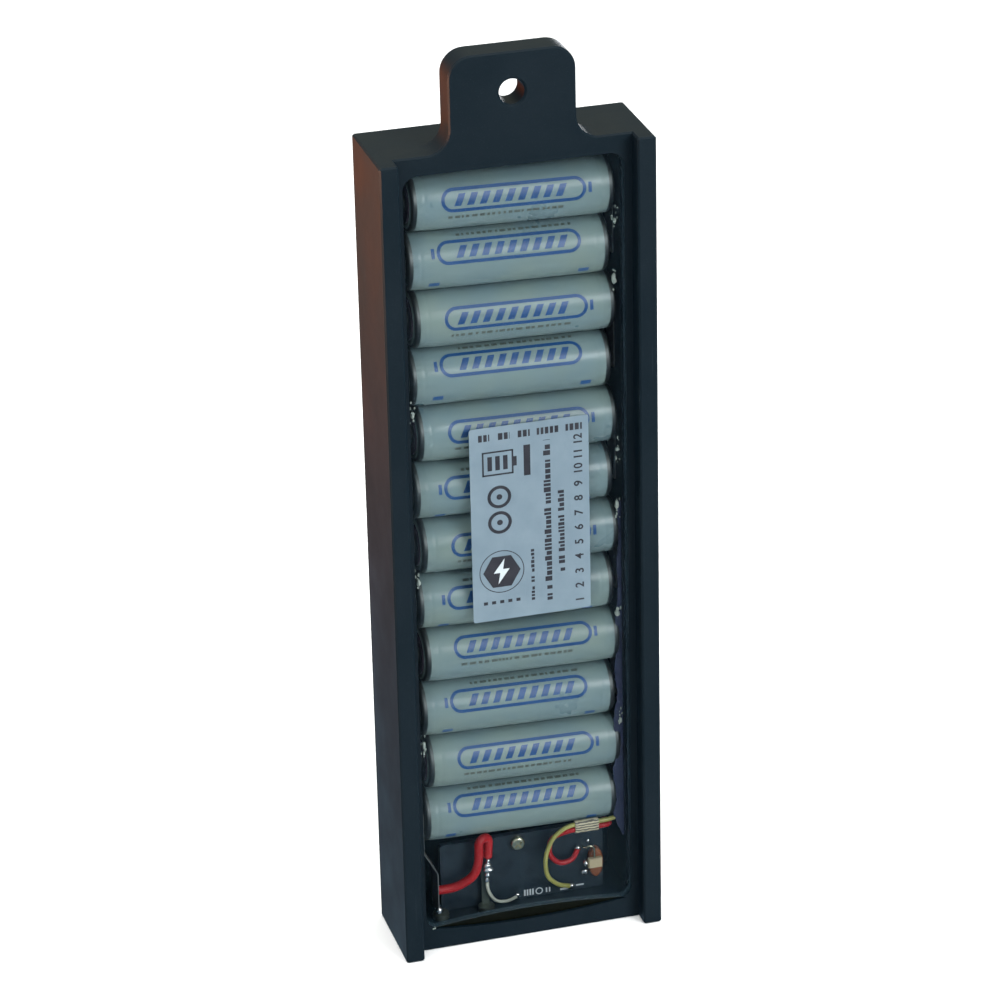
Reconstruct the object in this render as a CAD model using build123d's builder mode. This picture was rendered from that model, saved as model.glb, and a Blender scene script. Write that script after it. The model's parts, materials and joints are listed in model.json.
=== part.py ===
from build123d import *
import math
import os

os.makedirs("parts", exist_ok=True)

# Sealed slide-in battery pack: twelve AA cells in a milled plastic tray behind a clear window.
# Millimetres, +Z up along the pack, the window and the rails face -Y.
# The origin is under the middle of the body, on the face that the pack stands on.

# ---------------------------------------------------------------- driving dimensions

# Housing
BODY_WIDTH = 65.0
BODY_DEPTH = 25.0
BODY_HEIGHT = 205.5
RAIL_WIDTH = 4.5
RAIL_DEPTH = 4.5
EDGE_BREAK = 0.4
FLOOR_WALL = 3.0

TAB_WIDTH = 30.0
TAB_RISE = 22.5
TAB_THICKNESS = 7.0
TAB_RADIUS = 5.5
TAB_ROOT = 6.0
TAB_HOLE_RADIUS = 3.0
TAB_HOLE_BELOW_TOP = 9.6
TAB_HOLE_BREAK = 0.5

# Window rebate and the cell pocket behind it
REBATE_WIDTH = 52.4
REBATE_BOTTOM = 5.85
REBATE_TOP = 201.0
REBATE_DEPTH = 2.3
REBATE_RADIUS = 3.5
POCKET_WIDTH = 51.2
POCKET_BOTTOM = 6.0
POCKET_TOP = 200.3
POCKET_RADIUS = 2.0

PANE_THICKNESS = 2.0
PANE_GAP = 0.1

BEAD_LENGTH = 50.4
BEAD_RISE = 1.55
BEAD_SETBACK = 0.35

LABEL_WIDTH = 29.0
LABEL_HEIGHT = 50.0
LABEL_THICKNESS = 0.12
LABEL_RADIUS = 0.6
LABEL_X = 2.3
LABEL_Z = 112.0

# Cells: AA size, stacked down the pocket, turned end for end
CELL_COUNT = 12
SLEEVE_RADIUS = 7.15
SLEEVE_WALL = 0.15
SLEEVE_LENGTH = 48.6
SLEEVE_SHOULDER = 0.9
CAN_SHOULDER = 0.75
SLEEVE_MOUTH_RADIUS = 5.2
CAP_RADIUS = 2.75
CAP_LENGTH = 1.55
CAP_EDGE = 0.5
RING_RADIUS = 5.1
RING_HOLE_RADIUS = 2.9
RING_THICKNESS = 0.4
FIRST_CELL_Z = 191.1
CELL_PITCH = 14.4
CELL_BEHIND_WEB = 9.7
CELL_SHIFT = 0.65
CELL_TILT = 1.4

# Nickel links between the cells, and the strips at the two ends of the row
LINK_THICKNESS = 0.2
LINK_WIDTH = 6.0
LINK_OVERHANG = 2.5
LINK_RADIUS = 1.0
LINK_INNER_X = 25.2
STRIP_FRONT_Y = -4.4
STRIP_BACK_Y = 1.6
STRIP_X = -22.0
STRIP_ABOVE_AXIS = 2.5
STRIP_KNEE_TOP = 24.8
STRIP_KNEE_BOTTOM = 18.8
STRIP_BEND = 1.6
POSITIVE_TAB_END = (7.0, 196.2)
POSITIVE_TAB_WIDTH = 5.0

# Circuit board in the bay under the cells
BOARD_LEFT = -20.5
BOARD_RIGHT = 21.0
BOARD_BOTTOM = 6.2
BOARD_TOP = 24.4
BOARD_FRONT_Y = -1.0
BOARD_THICKNESS = 1.6
BOARD_RADIUS = 0.8
SCREW_X = -0.9
SCREW_Z = 22.2
SCREW_HEAD_RADIUS = 1.8
SCREW_HEAD_HEIGHT = 1.4
SCREW_HEAD_ROUNDING = 0.7
SCREW_CROSS_LENGTH = 2.2
SCREW_CROSS_WIDTH = 0.5
SCREW_CROSS_DEPTH = 0.7
SCREW_CROSS_TURN = 35
SCREW_SHANK_RADIUS = 1.25
SCREW_LENGTH = 6.0
SCREW_CLEARANCE = 0.1
STANDOFF_RADIUS = 2.4

# Fuse on the board, and the resistor that sits on the fuse
FUSE_X = 18.8
FUSE_Z = 13.9
FUSE_HALF_WIDTH = 1.9
FUSE_HALF_HEIGHT = 4.0
FUSE_THICKNESS = 1.8
FUSE_ROUNDING = 0.6
RESISTOR_X = 18.3
RESISTOR_Z = 14.4
RESISTOR_WIDTH = 3.5
RESISTOR_HEIGHT = 2.6
RESISTOR_THICKNESS = 1.2
RESISTOR_EDGE = 0.25

# Contacts through the bottom wall
CONTACT_X = (-21.3, -9.7)
CONTACT_Y = -3.4
CONTACT_HEAD_RADIUS = 3.0
CONTACT_HEAD_HEIGHT = 1.0
CONTACT_SETBACK = 0.2
CONTACT_SHANK_RADIUS = 1.25
COLLAR_RADIUS = 2.0
COLLAR_HEIGHT = 1.4
CONTACT_TAB_BACK_Y = -2.4
CONTACT_TAB_WIDTH = 1.9
CONTACT_TAB_LENGTH = 11.6
CONTACT_TAB_THICKNESS = 0.4

# Wires, and the shrink sleeve that binds two of them side by side
JUMPER_DIAMETER = 2.2
POSITIVE_DIAMETER = 1.3
SENSE_DIAMETER = 1.1
GROUND_DIAMETER = 0.8
LEAD_DIAMETER = 0.5
BEND_SHARE = 0.45
PAIR_Y = -4.4
POSITIVE_PAIR_Z = 25.1
SENSE_PAIR_Z = 26.45
WIRE_SLEEVE_LEFT = 12.9
WIRE_SLEEVE_RIGHT = 18.8
WIRE_SLEEVE_Z = 25.8
WIRE_SLEEVE_HEIGHT = 3.3
WIRE_SLEEVE_DEPTH = 1.9

# Wire groove in the pocket's floor
GROOVE_X = 21.5
GROOVE_WIDTH = 2.4
GROOVE_DEPTH = 1.7
GROOVE_BOTTOM = 24.0
GROOVE_TOP = 197.0

# Card between the cells and the pocket's floor
SHEET_BOTTOM = 36.0
SHEET_TOP = 187.0
SHEET_WIDTH = 50.0
SHEET_THICKNESS = 0.2
SHEET_RADIUS = 1.0

# The tall solder joint's edges, rounded by this share of its radius
JOINT_ROUNDING = 0.7

# ---------------------------------------------------------------- derived places

TOLERANCE = 1e-6
BACK_Y = BODY_DEPTH / 2
RAIL_FRONT_Y = -BODY_DEPTH / 2
WEB_FRONT_Y = RAIL_FRONT_Y + RAIL_DEPTH
CHANNEL_WIDTH = BODY_WIDTH - 2 * RAIL_WIDTH
TAB_BACK_Y = WEB_FRONT_Y + TAB_THICKNESS
TAB_TOP = BODY_HEIGHT + TAB_RISE
TAB_HOLE_Z = TAB_TOP - TAB_HOLE_BELOW_TOP
POCKET_FLOOR_Y = BACK_Y - FLOOR_WALL
REBATE_FLOOR_Y = WEB_FRONT_Y + REBATE_DEPTH
PANE_FRONT_Y = REBATE_FLOOR_Y - PANE_THICKNESS
CELL_Y = WEB_FRONT_Y + CELL_BEHIND_WEB
BOARD_BACK_Y = BOARD_FRONT_Y + BOARD_THICKNESS
COLLAR_TOP = POCKET_BOTTOM + COLLAR_HEIGHT
FUSE_FRONT_Y = BOARD_FRONT_Y - FUSE_THICKNESS


def front_plane(y):
    """Upright plane at depth y that faces the front, with X to the right and Z up."""
    return Plane.XZ.offset(-y)


def is_front_rim(edge):
    """Whether an edge borders the body's top face or the tab's front face."""
    middle = edge.center()
    on_top = abs(middle.Z - BODY_HEIGHT) < TOLERANCE and abs(middle.Y - TAB_BACK_Y) > TOLERANCE
    on_tab = middle.Z > BODY_HEIGHT and abs(middle.Y - WEB_FRONT_Y) < TOLERANCE
    return on_top or on_tab


def finish_piece(piece, name):
    """Label a finished piece and write its file."""
    piece.part.label = name
    export_step(piece.part, f"parts/{name}.step")


# Outline of the slot under the window: two shallow arcs that meet in points
BEAD_END = BEAD_LENGTH / 2
with BuildSketch() as bead_outline:
    with BuildLine():
        ThreePointArc(
            (-BEAD_END, REBATE_BOTTOM),
            (0, REBATE_BOTTOM + BEAD_RISE),
            (BEAD_END, REBATE_BOTTOM),
        )
        ThreePointArc(
            (BEAD_END, REBATE_BOTTOM),
            (0, REBATE_BOTTOM - BEAD_RISE),
            (-BEAD_END, REBATE_BOTTOM),
        )
    make_face()

# ---------------------------------------------------------------- housing

with BuildPart() as housing:
    # Body with the channel between its two rails
    with BuildSketch(Plane.XY):
        Rectangle(BODY_WIDTH, BODY_DEPTH)
        with Locations((0, RAIL_FRONT_Y)):
            Rectangle(CHANNEL_WIDTH, 2 * RAIL_DEPTH, mode=Mode.SUBTRACT)
    extrude(amount=BODY_HEIGHT)
    outer_corners = housing.edges().filter_by(Axis.Z)
    outer_corners = outer_corners.filter_by(lambda edge: abs(edge.center().Y - WEB_FRONT_Y) > EDGE_BREAK)
    chamfer(outer_corners, EDGE_BREAK)
    chamfer(housing.edges().group_by(Axis.Z)[0], EDGE_BREAK)

    # Tab, flush with the web between the rails
    root_x = TAB_WIDTH / 2 + TAB_RADIUS + EDGE_BREAK
    with BuildSketch(front_plane(TAB_BACK_Y)):
        with BuildLine():
            FilletPolyline(
                (-root_x, BODY_HEIGHT),
                (-TAB_WIDTH / 2, BODY_HEIGHT),
                (-TAB_WIDTH / 2, TAB_TOP),
                (TAB_WIDTH / 2, TAB_TOP),
                (TAB_WIDTH / 2, BODY_HEIGHT),
                (root_x, BODY_HEIGHT),
                radius=TAB_RADIUS,
            )
            Polyline(
                (root_x, BODY_HEIGHT),
                (root_x, BODY_HEIGHT - TAB_ROOT),
                (-root_x, BODY_HEIGHT - TAB_ROOT),
                (-root_x, BODY_HEIGHT),
            )
        make_face()
    extrude(amount=TAB_THICKNESS)
    chamfer(housing.edges().filter_by(is_front_rim), EDGE_BREAK)
    with Locations(front_plane(WEB_FRONT_Y)):
        with Locations((0, TAB_HOLE_Z)):
            Hole(TAB_HOLE_RADIUS, depth=TAB_THICKNESS)
    hole_rims = housing.edges().filter_by(GeomType.CIRCLE)
    hole_rims = hole_rims.filter_by(lambda edge: abs(edge.radius - TAB_HOLE_RADIUS) < TOLERANCE)
    chamfer(hole_rims, TAB_HOLE_BREAK)

    # Window rebate, the slot under it, and the cell pocket
    rebate_z = (REBATE_BOTTOM + REBATE_TOP) / 2
    pocket_z = (POCKET_BOTTOM + POCKET_TOP) / 2
    with BuildSketch(front_plane(REBATE_FLOOR_Y)):
        with Locations((0, rebate_z)):
            RectangleRounded(REBATE_WIDTH, REBATE_TOP - REBATE_BOTTOM, REBATE_RADIUS)
        add(bead_outline.sketch)
    extrude(amount=REBATE_DEPTH, mode=Mode.SUBTRACT)
    with BuildSketch(front_plane(POCKET_FLOOR_Y)):
        with Locations((0, pocket_z)):
            RectangleRounded(POCKET_WIDTH, POCKET_TOP - POCKET_BOTTOM, POCKET_RADIUS)
    extrude(amount=POCKET_FLOOR_Y - REBATE_FLOOR_Y, mode=Mode.SUBTRACT)

    # Groove for the positive lead in the pocket's floor
    with BuildSketch(front_plane(POCKET_FLOOR_Y + GROOVE_DEPTH)):
        with Locations((GROOVE_X, (GROOVE_BOTTOM + GROOVE_TOP) / 2)):
            SlotOverall(GROOVE_TOP - GROOVE_BOTTOM, GROOVE_WIDTH, rotation=90)
    extrude(amount=GROOVE_DEPTH, mode=Mode.SUBTRACT)

    # Stepped holes for the two contacts
    with Locations(Plane.XY.rotated((180, 0, 0))):
        with Locations([(x, -CONTACT_Y) for x in CONTACT_X]):
            CounterBoreHole(
                CONTACT_SHANK_RADIUS,
                CONTACT_HEAD_RADIUS,
                CONTACT_HEAD_HEIGHT + CONTACT_SETBACK,
                depth=POCKET_BOTTOM,
            )
finish_piece(housing, "housing")

# ---------------------------------------------------------------- window, bead and label

with BuildPart() as window_pane:
    with BuildSketch(front_plane(REBATE_FLOOR_Y)):
        with Locations((0, rebate_z)):
            RectangleRounded(
                REBATE_WIDTH - 2 * PANE_GAP,
                REBATE_TOP - REBATE_BOTTOM - 2 * PANE_GAP,
                REBATE_RADIUS - PANE_GAP,
            )
    extrude(amount=PANE_THICKNESS)
    with BuildSketch(front_plane(REBATE_FLOOR_Y)):
        add(bead_outline.sketch)
    extrude(amount=PANE_THICKNESS, mode=Mode.SUBTRACT)
finish_piece(window_pane, "window_pane")

with BuildPart() as window_seal_bead:
    with BuildSketch(front_plane(REBATE_FLOOR_Y)):
        add(bead_outline.sketch)
    extrude(amount=PANE_THICKNESS - BEAD_SETBACK)
finish_piece(window_seal_bead, "window_seal_bead")

with BuildPart() as rating_label:
    with BuildSketch(front_plane(PANE_FRONT_Y)):
        with Locations((LABEL_X, LABEL_Z)):
            RectangleRounded(LABEL_WIDTH, LABEL_HEIGHT, LABEL_RADIUS)
    extrude(amount=LABEL_THICKNESS)
finish_piece(rating_label, "rating_label")

# ---------------------------------------------------------------- cells


def cell_side(number):
    """Which way a cell's positive end points: -1 to the left, +1 to the right."""
    return -1 if number % 2 == 1 else 1


def cell_height(number, x=0.0):
    """Height of a cell's axis where it crosses x."""
    return FIRST_CELL_Z - (number - 1) * CELL_PITCH - x * math.tan(math.radians(CELL_TILT))


def cell_plane(number):
    """Plane on the sleeve's negative end, with its normal along the cell to the positive end."""
    side = cell_side(number)
    tilt = math.radians(CELL_TILT)
    axis = Vector(side * math.cos(tilt), 0, -side * math.sin(tilt))
    middle = Vector(-side * CELL_SHIFT, CELL_Y, cell_height(number))
    return Plane(origin=middle - axis * (SLEEVE_LENGTH / 2), x_dir=(0, 1, 0), z_dir=axis)


def cell_pieces(number):
    """Steel can and shrink sleeve of one cell."""
    standing = (Align.CENTER, Align.CENTER, Align.MIN)
    with BuildPart() as can:
        with Locations(cell_plane(number).offset(SLEEVE_WALL)):
            Cylinder(SLEEVE_RADIUS - SLEEVE_WALL, SLEEVE_LENGTH - 2 * SLEEVE_WALL, align=standing)
        fillet(can.edges().filter_by(GeomType.CIRCLE), CAN_SHOULDER)
    with BuildPart() as sleeve:
        with Locations(cell_plane(number)):
            Cylinder(SLEEVE_RADIUS, SLEEVE_LENGTH, align=standing)
        fillet(sleeve.edges().filter_by(GeomType.CIRCLE), SLEEVE_SHOULDER)
        add(can.part, mode=Mode.SUBTRACT)
        with Locations(cell_plane(number)):
            Cylinder(SLEEVE_MOUTH_RADIUS, SLEEVE_LENGTH, align=standing, mode=Mode.SUBTRACT)
    return can, sleeve


for cell_number in range(1, CELL_COUNT + 1):
    cell_can, cell_sleeve = cell_pieces(cell_number)
    finish_piece(cell_can, f"cell_can_{cell_number:02d}")
    finish_piece(cell_sleeve, f"cell_sleeve_{cell_number:02d}")

positive_faces = [
    cell_plane(number).offset(SLEEVE_LENGTH - SLEEVE_WALL) for number in range(1, CELL_COUNT + 1)
]

with BuildPart() as cell_positive_caps:
    with BuildSketch(*positive_faces):
        Circle(CAP_RADIUS)
    extrude(amount=CAP_LENGTH)
    cap_tips = cell_positive_caps.faces().filter_by(GeomType.PLANE)
    cap_tips = cap_tips.filter_by(lambda face: abs(face.center().X) > LINK_INNER_X - 2 * LINK_THICKNESS)
    chamfer(cap_tips.edges(), CAP_EDGE)
finish_piece(cell_positive_caps, "cell_positive_caps")

with BuildPart() as cell_insulator_rings:
    with BuildSketch(*positive_faces):
        Circle(RING_RADIUS)
        Circle(RING_HOLE_RADIUS, mode=Mode.SUBTRACT)
    extrude(amount=RING_THICKNESS)
finish_piece(cell_insulator_rings, "cell_insulator_rings")

# ---------------------------------------------------------------- link strips

link_side_x = LINK_INNER_X + LINK_THICKNESS / 2
for upper_cell in range(1, CELL_COUNT):
    # A link joins a cell's negative end to the next cell's positive end
    side = -cell_side(upper_cell)
    upper_z = cell_height(upper_cell, side * link_side_x)
    with BuildPart() as link_strip:
        with BuildSketch(Plane.YZ.offset(side * link_side_x)):
            with Locations((CELL_Y, upper_z - CELL_PITCH / 2)):
                RectangleRounded(LINK_WIDTH, CELL_PITCH + 2 * LINK_OVERHANG, LINK_RADIUS)
        extrude(amount=LINK_THICKNESS / 2, both=True)
    finish_piece(link_strip, f"link_strip_{upper_cell:02d}")

# ---------------------------------------------------------------- terminal strips

with BuildPart() as negative_terminal_strip:
    with BuildSketch(front_plane(STRIP_BACK_Y)):
        with BuildLine() as strip_line:
            FilletPolyline(
                (-link_side_x, cell_height(CELL_COUNT, -link_side_x) + STRIP_ABOVE_AXIS),
                (-link_side_x, STRIP_KNEE_TOP),
                (STRIP_X, STRIP_KNEE_BOTTOM),
                (STRIP_X, COLLAR_TOP),
                radius=STRIP_BEND,
            )
        trace(line_width=LINK_THICKNESS)
    extrude(amount=STRIP_BACK_Y - STRIP_FRONT_Y)
finish_piece(negative_terminal_strip, "negative_terminal_strip")

with BuildPart() as positive_terminal_tab:
    with BuildSketch(Plane.YZ.offset(-link_side_x)):
        cap_centre = (CELL_Y, cell_height(1, -link_side_x))
        slot_centre = (Vector(*cap_centre) + Vector(*POSITIVE_TAB_END)) / 2
        SlotCenterPoint(slot_centre, POSITIVE_TAB_END, POSITIVE_TAB_WIDTH)
    extrude(amount=LINK_THICKNESS / 2, both=True)
finish_piece(positive_terminal_tab, "positive_terminal_tab")

with BuildPart() as contact_tab:
    with BuildSketch(front_plane(CONTACT_TAB_BACK_Y)):
        with Locations((CONTACT_X[1], COLLAR_TOP)):
            Rectangle(CONTACT_TAB_WIDTH, CONTACT_TAB_LENGTH, align=(Align.CENTER, Align.MIN))
    extrude(amount=CONTACT_TAB_THICKNESS)
finish_piece(contact_tab, "contact_tab")

# ---------------------------------------------------------------- wires


def bend_radii(route):
    """Largest smooth bend at each inner point of a wire's route."""
    radii = []
    for before, corner, after in zip(route, route[1:], route[2:]):
        run_in = Vector(*corner) - Vector(*before)
        run_out = Vector(*after) - Vector(*corner)
        half_turn = math.radians(run_in.get_angle(run_out) / 2)
        shorter_run = min(run_in.length, run_out.length)
        radii.append(BEND_SHARE * shorter_run / math.tan(half_turn))
    return radii


def wire(name, route, diameter):
    """Round wire along straight runs joined by tangent arcs."""
    radii = bend_radii(route)
    with BuildPart() as piece:
        with BuildLine() as centre_line:
            FilletPolyline(*route, radius=radii)
        path = centre_line.wire()
        with BuildSketch(Plane(origin=path @ 0, z_dir=path % 0)):
            Circle(diameter / 2)
        sweep(path=path)
    section = math.pi * diameter**2 / 4
    print(f"{name}: length {path.length:.1f}, bends {[round(radius, 1) for radius in radii]}")
    print(f"{name}: volume over section times length {piece.part.volume / section / path.length:.4f}")
    finish_piece(piece, name)
    return piece


JUMPER_ROUTE = [
    (STRIP_X + LINK_THICKNESS / 2, -3.6, 13.8),
    (-17.2, -3.6, 13.8),
    (-12.6, -4.2, 16.6),
    (-11.5, -4.4, 21.5),
    (-11.6, -4.4, 26.3),
    (-8.5, -2.5, 26.0),
    (-8.9, -2.6, 20.4),
]
POSITIVE_ROUTE = [
    (-LINK_INNER_X, 8.0, 197.2),
    (GROOVE_X, 8.0, 197.2),
    (GROOVE_X, 10.3, 191.5),
    (GROOVE_X, 10.3, 31.0),
    (GROOVE_X, 8.0, 25.2),
    (22.3, 1.0, 23.4),
    (22.4, PAIR_Y, POSITIVE_PAIR_Z),
    (11.0, PAIR_Y, POSITIVE_PAIR_Z),
    (7.0, -3.2, 23.2),
    (6.5, -3.0, 18.4),
    (9.2, -3.0, 15.3),
    (12.8, -2.6, 15.7),
    (14.3, -1.8, 18.0),
]
SENSE_ROUTE = [
    (24.8, -0.8, 28.3),
    (24.6, -3.2, 26.4),
    (21.4, PAIR_Y, SENSE_PAIR_Z),
    (11.0, PAIR_Y, SENSE_PAIR_Z),
    (7.0, -4.8, 24.0),
    (5.0, -4.8, 18.8),
    (5.6, -4.2, 13.0),
    (8.8, -3.2, 9.6),
    (12.0, -1.8, 8.0),
]
GROUND_ROUTE = [
    (-9.5, -3.3, 15.6),
    (-9.3, -3.6, 11.2),
    (-7.4, -3.7, 8.1),
    (-4.2, -3.2, 7.3),
    (-1.6, -1.7, 7.3),
]
LEAD_ROUTE = [
    (15.8, BOARD_FRONT_Y, 18.3),
    (15.9, -2.6, 18.4),
    (16.7, -3.4, 19.3),
    (18.1, -3.4, 18.8),
    (18.2, -3.4, RESISTOR_Z + RESISTOR_HEIGHT / 2),
]
jumper_lead = wire("jumper_lead", JUMPER_ROUTE, JUMPER_DIAMETER)
positive_lead = wire("positive_lead", POSITIVE_ROUTE, POSITIVE_DIAMETER)
sense_wire = wire("sense_wire", SENSE_ROUTE, SENSE_DIAMETER)
ground_wire = wire("ground_wire", GROUND_ROUTE, GROUND_DIAMETER)
resistor_lead = wire("resistor_lead", LEAD_ROUTE, LEAD_DIAMETER)

with BuildPart() as wire_sleeve:
    with BuildSketch(Plane.YZ.offset(WIRE_SLEEVE_LEFT)):
        with Locations((PAIR_Y, WIRE_SLEEVE_Z)):
            SlotOverall(WIRE_SLEEVE_HEIGHT, WIRE_SLEEVE_DEPTH, rotation=90)
        with Locations((PAIR_Y, POSITIVE_PAIR_Z)):
            Circle(POSITIVE_DIAMETER / 2, mode=Mode.SUBTRACT)
        with Locations((PAIR_Y, SENSE_PAIR_Z)):
            Circle(SENSE_DIAMETER / 2, mode=Mode.SUBTRACT)
    extrude(amount=WIRE_SLEEVE_RIGHT - WIRE_SLEEVE_LEFT)
finish_piece(wire_sleeve, "wire_sleeve")

# ---------------------------------------------------------------- circuit board and what is on it

with BuildPart() as circuit_board:
    with BuildSketch(front_plane(BOARD_BACK_Y)):
        with Locations(((BOARD_LEFT + BOARD_RIGHT) / 2, (BOARD_BOTTOM + BOARD_TOP) / 2)):
            RectangleRounded(BOARD_RIGHT - BOARD_LEFT, BOARD_TOP - BOARD_BOTTOM, BOARD_RADIUS)
        with Locations((SCREW_X, SCREW_Z)):
            Circle(SCREW_SHANK_RADIUS + SCREW_CLEARANCE, mode=Mode.SUBTRACT)
    extrude(amount=BOARD_THICKNESS)
finish_piece(circuit_board, "circuit_board")

with BuildPart() as board_standoff:
    with BuildSketch(front_plane(POCKET_FLOOR_Y)):
        with Locations((SCREW_X, SCREW_Z)):
            RegularPolygon(STANDOFF_RADIUS, 6)
            Circle(SCREW_SHANK_RADIUS, mode=Mode.SUBTRACT)
    extrude(amount=POCKET_FLOOR_Y - BOARD_BACK_Y)
finish_piece(board_standoff, "board_standoff")

with BuildPart() as board_screw:
    with BuildSketch(front_plane(BOARD_FRONT_Y)):
        with Locations((SCREW_X, SCREW_Z)):
            Circle(SCREW_HEAD_RADIUS)
    extrude(amount=SCREW_HEAD_HEIGHT)
    head_face = board_screw.faces().sort_by(Axis.Y)[0]
    fillet(head_face.edges(), SCREW_HEAD_ROUNDING)
    with BuildSketch(front_plane(BOARD_FRONT_Y - SCREW_HEAD_HEIGHT)):
        with Locations((SCREW_X, SCREW_Z)):
            Rectangle(SCREW_CROSS_LENGTH, SCREW_CROSS_WIDTH, rotation=SCREW_CROSS_TURN)
            Rectangle(SCREW_CROSS_WIDTH, SCREW_CROSS_LENGTH, rotation=SCREW_CROSS_TURN)
    extrude(amount=-SCREW_CROSS_DEPTH, mode=Mode.SUBTRACT)
    with BuildSketch(front_plane(BOARD_FRONT_Y)):
        with Locations((SCREW_X, SCREW_Z)):
            Circle(SCREW_SHANK_RADIUS)
    extrude(amount=-SCREW_LENGTH)
finish_piece(board_screw, "board_screw")

with BuildPart() as resettable_fuse:
    with BuildSketch(front_plane(BOARD_FRONT_Y)):
        with Locations((FUSE_X, FUSE_Z)):
            Ellipse(FUSE_HALF_WIDTH, FUSE_HALF_HEIGHT)
    extrude(amount=FUSE_THICKNESS)
    fillet(resettable_fuse.faces().sort_by(Axis.Y)[0].edges(), FUSE_ROUNDING)
finish_piece(resettable_fuse, "resettable_fuse")

with BuildPart() as ceramic_resistor:
    with BuildSketch(front_plane(FUSE_FRONT_Y)):
        with Locations((RESISTOR_X, RESISTOR_Z)):
            Rectangle(RESISTOR_WIDTH, RESISTOR_HEIGHT)
    extrude(amount=RESISTOR_THICKNESS)
    chamfer(ceramic_resistor.faces().sort_by(Axis.Y)[0].edges(), RESISTOR_EDGE)
finish_piece(ceramic_resistor, "ceramic_resistor")

# ---------------------------------------------------------------- contacts

with BuildPart() as contact_studs:
    with BuildSketch(Plane.XY.offset(CONTACT_SETBACK)):
        with Locations([(x, CONTACT_Y) for x in CONTACT_X]):
            Circle(CONTACT_HEAD_RADIUS)
    extrude(amount=CONTACT_HEAD_HEIGHT)
    with BuildSketch(Plane.XY.offset(CONTACT_SETBACK + CONTACT_HEAD_HEIGHT)):
        with Locations([(x, CONTACT_Y) for x in CONTACT_X]):
            Circle(CONTACT_SHANK_RADIUS)
    extrude(amount=COLLAR_TOP - CONTACT_SETBACK - CONTACT_HEAD_HEIGHT)
finish_piece(contact_studs, "contact_studs")

with BuildPart() as contact_collars:
    with BuildSketch(Plane.XY.offset(POCKET_BOTTOM)):
        with Locations([(x, CONTACT_Y) for x in CONTACT_X]):
            Circle(COLLAR_RADIUS)
            Circle(CONTACT_SHANK_RADIUS, mode=Mode.SUBTRACT)
    extrude(amount=COLLAR_HEIGHT)
finish_piece(contact_collars, "contact_collars")

# ---------------------------------------------------------------- solder, glue and insulation

# Solder joints: the middle, radius and height of the tall one, and the middle and radius of the rest
TALL_JOINT = ((-9.4, -3.4, 17.0), 1.05, 6.4)
ROUND_JOINTS = [
    ((-21.8, -4.0, 8.2), 0.9),
    ((16.0, -2.9, 14.5), 0.85),
    ((16.0, -1.4, 11.1), 0.8),
    ((14.4, -1.6, 18.1), 0.75),
    ((17.1, -1.2, 19.6), 0.45),
    ((12.5, -1.6, 7.8), 0.8),
    ((-1.2, -1.4, 7.6), 0.6),
]
SOLDERED_PIECES = [
    negative_terminal_strip,
    contact_tab,
    contact_studs,
    contact_collars,
    jumper_lead,
    positive_lead,
    sense_wire,
    ground_wire,
    resistor_lead,
    circuit_board,
    resettable_fuse,
    ceramic_resistor,
]
with BuildPart() as solder_joints:
    joint_middle, joint_radius, joint_height = TALL_JOINT
    with Locations(joint_middle):
        Cylinder(joint_radius, joint_height)
    fillet(solder_joints.edges().filter_by(GeomType.CIRCLE), JOINT_ROUNDING * joint_radius)
    for joint_middle, joint_radius in ROUND_JOINTS:
        with Locations(joint_middle):
            Sphere(joint_radius)
    for piece in SOLDERED_PIECES:
        add(piece.part, mode=Mode.SUBTRACT)
finish_piece(solder_joints, "solder_joints")

# Dabs of glue in the valleys between the cells: side of the pocket, cell above, radius
GLUE_DABS = [
    (1, 1, 1.0),
    (1, 2, 1.2),
    (1, 5, 0.9),
    (1, 6, 1.1),
    (1, 8, 1.2),
    (1, 10, 0.8),
    (-1, 4, 0.9),
    (-1, 7, 1.1),
    (-1, 10, 1.0),
]
with BuildPart() as glue_blobs:
    for side, upper_cell, radius in GLUE_DABS:
        valley_z = cell_height(upper_cell, side * POCKET_WIDTH / 2) - CELL_PITCH / 2
        with Locations((side * (POCKET_WIDTH / 2 - radius), REBATE_FLOOR_Y + radius, valley_z)):
            Sphere(radius)
finish_piece(glue_blobs, "glue_blobs")

with BuildPart() as insulator_sheet:
    with BuildSketch(front_plane(POCKET_FLOOR_Y)):
        with Locations((0, (SHEET_BOTTOM + SHEET_TOP) / 2)):
            RectangleRounded(SHEET_WIDTH, SHEET_TOP - SHEET_BOTTOM, SHEET_RADIUS)
    extrude(amount=SHEET_THICKNESS)
finish_piece(insulator_sheet, "insulator_sheet")
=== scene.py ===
import json
import math
import random

import bmesh
import bpy
from mathutils import Matrix, Quaternion, Vector


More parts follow.
